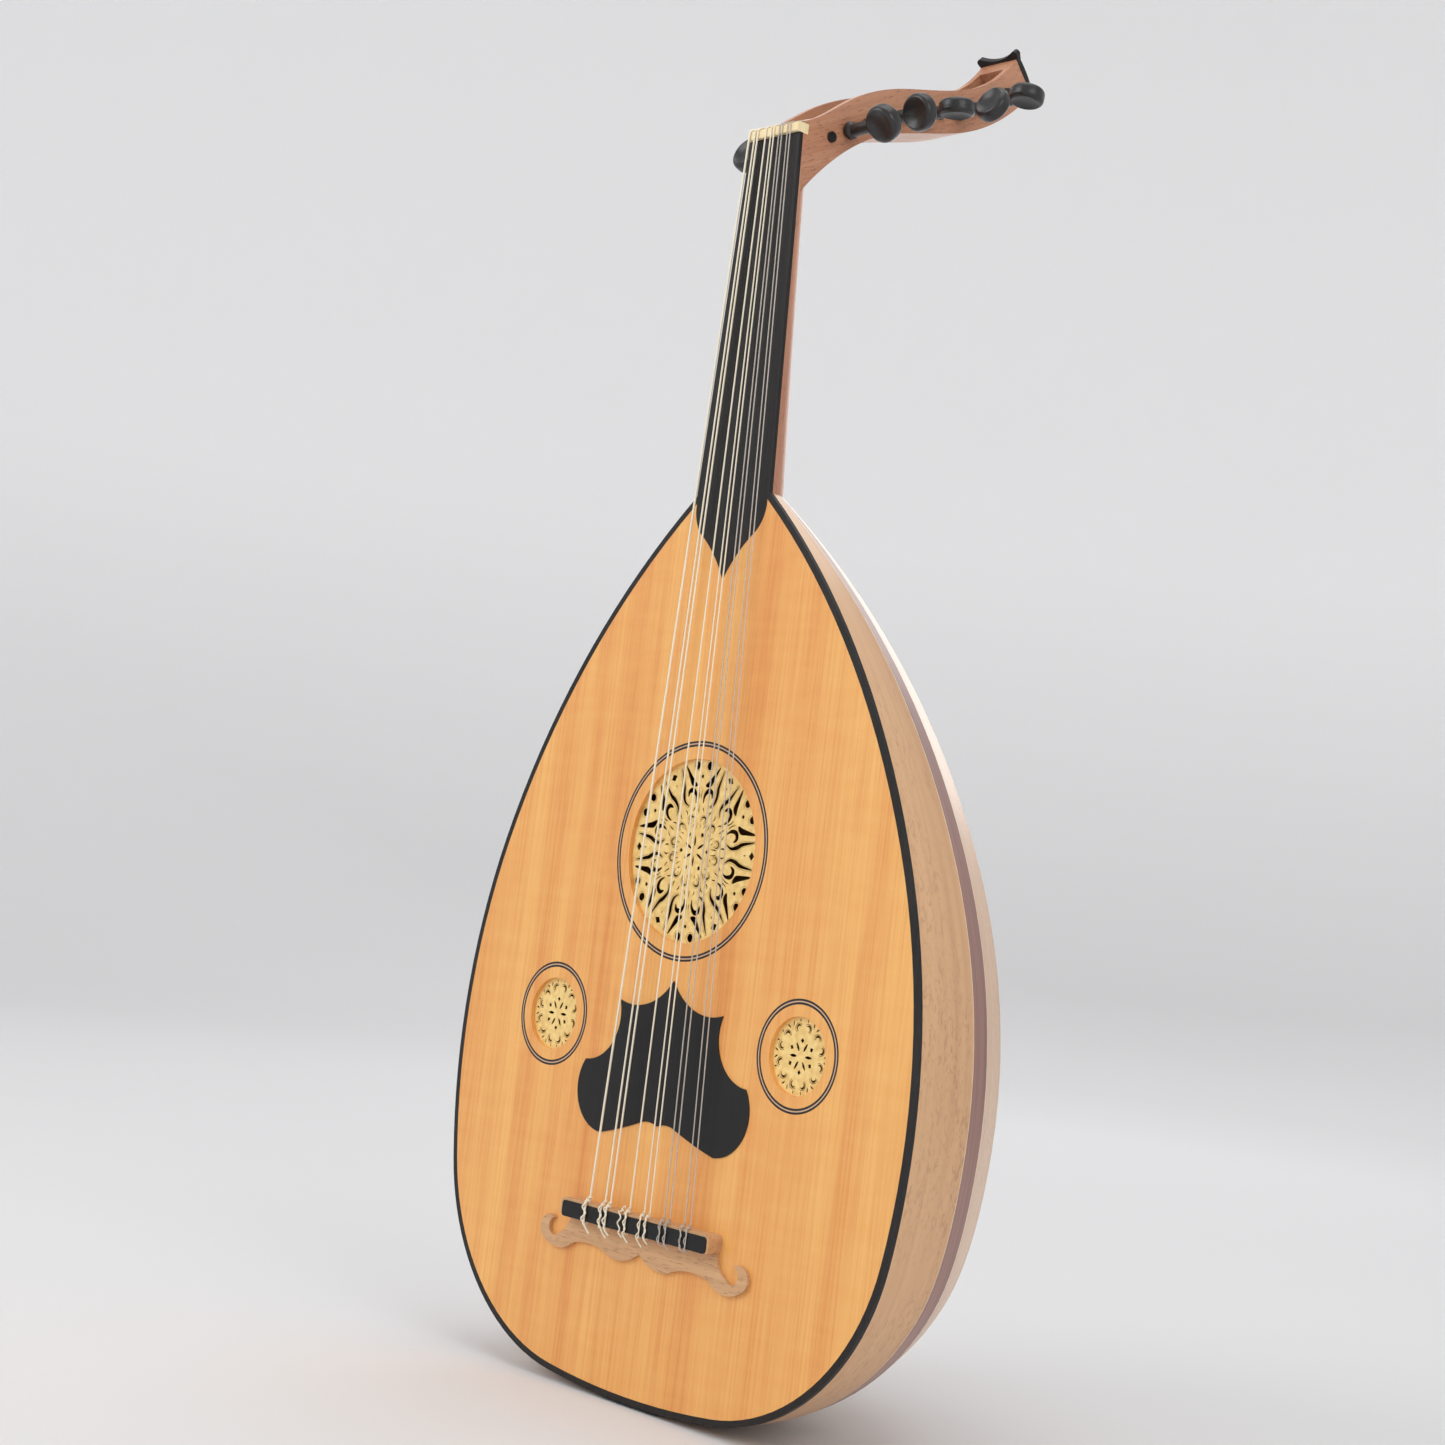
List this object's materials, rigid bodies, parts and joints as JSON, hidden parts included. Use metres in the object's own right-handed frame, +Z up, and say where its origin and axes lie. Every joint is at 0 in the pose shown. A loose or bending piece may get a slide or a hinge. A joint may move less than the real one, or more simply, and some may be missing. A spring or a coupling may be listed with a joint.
{
  "type": "oud",
  "caption": "Short-necked lute with a staved round-backed bowl, pierced rosettes, tied bridge, bent-back pegbox with turning friction pegs, and strings at pitch.",
  "frame": {"origin": "tail end of the soundboard's front face, on the centre line", "axes": "+Z up the neck, -Y out of the soundboard's face, +X to the treble side"},
  "size_m": [0.3552, 0.2065, 0.7888],
  "materials": {
    "brown_rib_wood": "gloss lacquer",
    "pale_rib_wood": "gloss lacquer",
    "fillet_wood": "gloss lacquer",
    "ebony": "satin",
    "block_wood": "raw",
    "spruce": "satin",
    "brace_spruce": "raw",
    "ebony_veneer": "satin",
    "bridge_wood": "satin",
    "neck_wood": "satin",
    "bone": "polished",
    "rosette_material": "satin",
    "ring_inlay": "satin",
    "peg_ebony": "satin",
    "wound_string": "satin",
    "clear_string": "gloss"
  },
  "bodies": {
    "instrument": {"rib_01": "pale_rib_wood", "rib_02": "brown_rib_wood", "rib_03": "pale_rib_wood", "rib_04": "brown_rib_wood", "rib_05": "pale_rib_wood", "rib_06": "brown_rib_wood", "rib_07": "pale_rib_wood", "rib_08": "brown_rib_wood", "rib_09": "pale_rib_wood", "rib_10": "brown_rib_wood", "rib_11": "pale_rib_wood", "rib_12": "brown_rib_wood", "rib_13": "pale_rib_wood", "rib_14": "brown_rib_wood", "rib_15": "pale_rib_wood", "rib_fillets": "fillet_wood", "tail_cap": "ebony", "tail_block": "block_wood", "neck_block": "block_wood", "soundboard": "spruce", "soundboard_braces": "brace_spruce", "edge_binding": "ebony", "pickguard": "ebony_veneer", "bridge": "bridge_wood", "bridge_tie_plate": "ebony_veneer", "neck": "neck_wood", "fingerboard": "ebony", "nut": "bone", "pegbox_left_cheek": "neck_wood", "pegbox_right_cheek": "neck_wood", "pegbox_back": "neck_wood", "pegbox_end_block": "neck_wood", "pegbox_cap": "ebony", "main_rosette": "rosette_material", "left_rosette": "rosette_material", "right_rosette": "rosette_material", "main_rosette_ring": "ring_inlay", "left_rosette_ring": "ring_inlay", "right_rosette_ring": "ring_inlay", "course_1": "wound_string", "course_2": "wound_string", "course_3": "wound_string", "course_4": "wound_string", "course_5": "clear_string", "course_6": "clear_string"},
    "peg_01_body": {"peg_01": "peg_ebony"},
    "peg_02_body": {"peg_02": "peg_ebony"},
    "peg_03_body": {"peg_03": "peg_ebony"},
    "peg_04_body": {"peg_04": "peg_ebony"},
    "peg_05_body": {"peg_05": "peg_ebony"},
    "peg_06_body": {"peg_06": "peg_ebony"},
    "peg_07_body": {"peg_07": "peg_ebony"},
    "peg_08_body": {"peg_08": "peg_ebony"},
    "peg_09_body": {"peg_09": "peg_ebony"},
    "peg_10_body": {"peg_10": "peg_ebony"},
    "peg_11_body": {"peg_11": "peg_ebony"}
  },
  "joints": [
    {"name": "peg_01_turn", "type": "hinge", "parent": "instrument", "child": "peg_01_body", "pos_m": [0, 0.024, 0.68591], "axis": [-1, 0, 0], "continuous": true},
    {"name": "peg_02_turn", "type": "hinge", "parent": "instrument", "child": "peg_02_body", "pos_m": [0, 0.0366, 0.69331], "axis": [1, 0, 0], "continuous": true},
    {"name": "peg_03_turn", "type": "hinge", "parent": "instrument", "child": "peg_03_body", "pos_m": [0, 0.0506, 0.70191], "axis": [-1, 0, 0], "continuous": true},
    {"name": "peg_04_turn", "type": "hinge", "parent": "instrument", "child": "peg_04_body", "pos_m": [0, 0.0644, 0.70871], "axis": [1, 0, 0], "continuous": true},
    {"name": "peg_05_turn", "type": "hinge", "parent": "instrument", "child": "peg_05_body", "pos_m": [0, 0.0796, 0.71511], "axis": [-1, 0, 0], "continuous": true},
    {"name": "peg_06_turn", "type": "hinge", "parent": "instrument", "child": "peg_06_body", "pos_m": [0, 0.0946, 0.72091], "axis": [1, 0, 0], "continuous": true},
    {"name": "peg_07_turn", "type": "hinge", "parent": "instrument", "child": "peg_07_body", "pos_m": [0, 0.11, 0.72711], "axis": [-1, 0, 0], "continuous": true},
    {"name": "peg_08_turn", "type": "hinge", "parent": "instrument", "child": "peg_08_body", "pos_m": [0, 0.125, 0.73311], "axis": [1, 0, 0], "continuous": true},
    {"name": "peg_09_turn", "type": "hinge", "parent": "instrument", "child": "peg_09_body", "pos_m": [0, 0.14, 0.73971], "axis": [-1, 0, 0], "continuous": true},
    {"name": "peg_10_turn", "type": "hinge", "parent": "instrument", "child": "peg_10_body", "pos_m": [0, 0.154, 0.74791], "axis": [1, 0, 0], "continuous": true},
    {"name": "peg_11_turn", "type": "hinge", "parent": "instrument", "child": "peg_11_body", "pos_m": [0, 0.167, 0.75871], "axis": [-1, 0, 0], "continuous": true}
  ]
}
